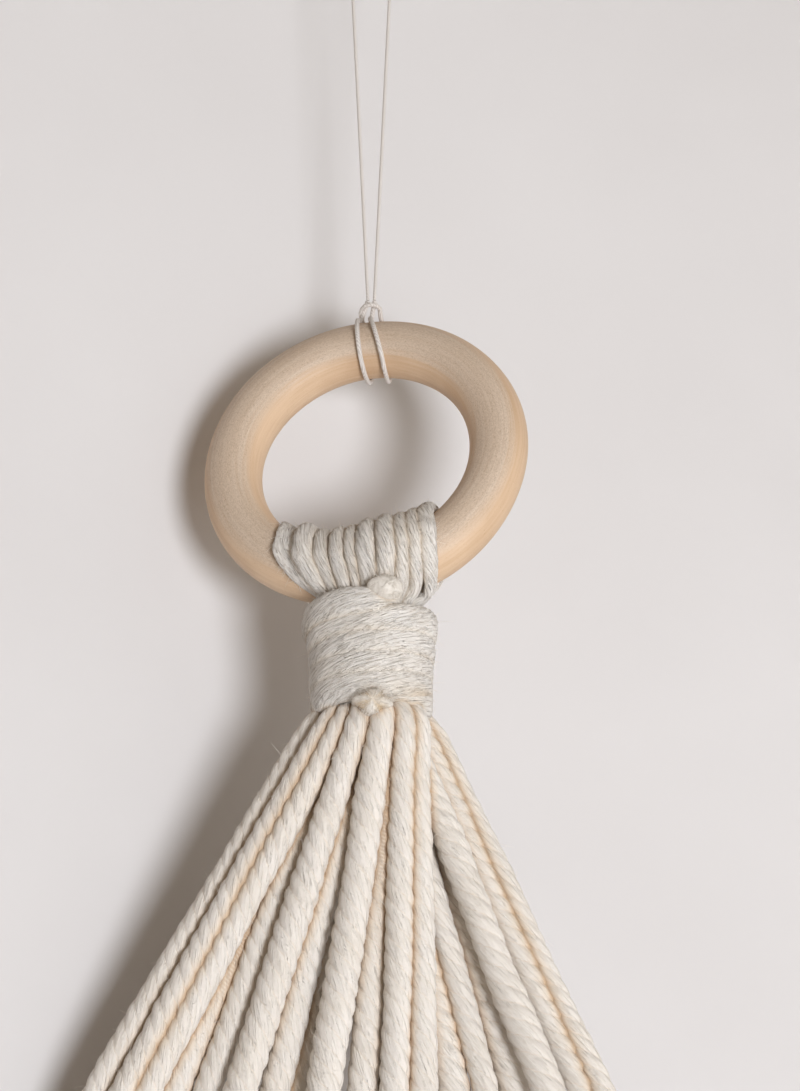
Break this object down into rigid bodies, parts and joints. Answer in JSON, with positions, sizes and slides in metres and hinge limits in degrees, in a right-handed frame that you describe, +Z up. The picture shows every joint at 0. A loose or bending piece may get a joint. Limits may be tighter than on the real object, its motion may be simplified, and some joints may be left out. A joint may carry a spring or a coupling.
{
  "type": "macrame wall hanging with its wooden ring",
  "caption": "Cotton macrame tassel hanging: cords folded over a wooden ring, gathered by a wound knot and fanned out below, held up by a thin looped thread",
  "frame": {"origin": "the top of the hanging thread's loop, where a hook or nail would hold it", "axes": "+Z up, the hanging's front towards -Y, its right side as seen from the front towards +X"},
  "size_m": [0.1276, 0.0362, 0.3301],
  "materials": {
    "wood": "smooth unvarnished pale wood",
    "cotton": "soft natural cotton, three plies",
    "wrap_cotton": "soft natural cotton, three plies",
    "thread": "thin natural thread",
    "hitch_thread": "thin natural thread"
  },
  "bodies": {
    "root": {"wooden_ring": "wood", "folded_cords": "cotton", "wrapping_cord": "wrap_cotton", "hanging_thread": "thread", "thread_hitch": "hitch_thread"}
  },
  "joints": []
}
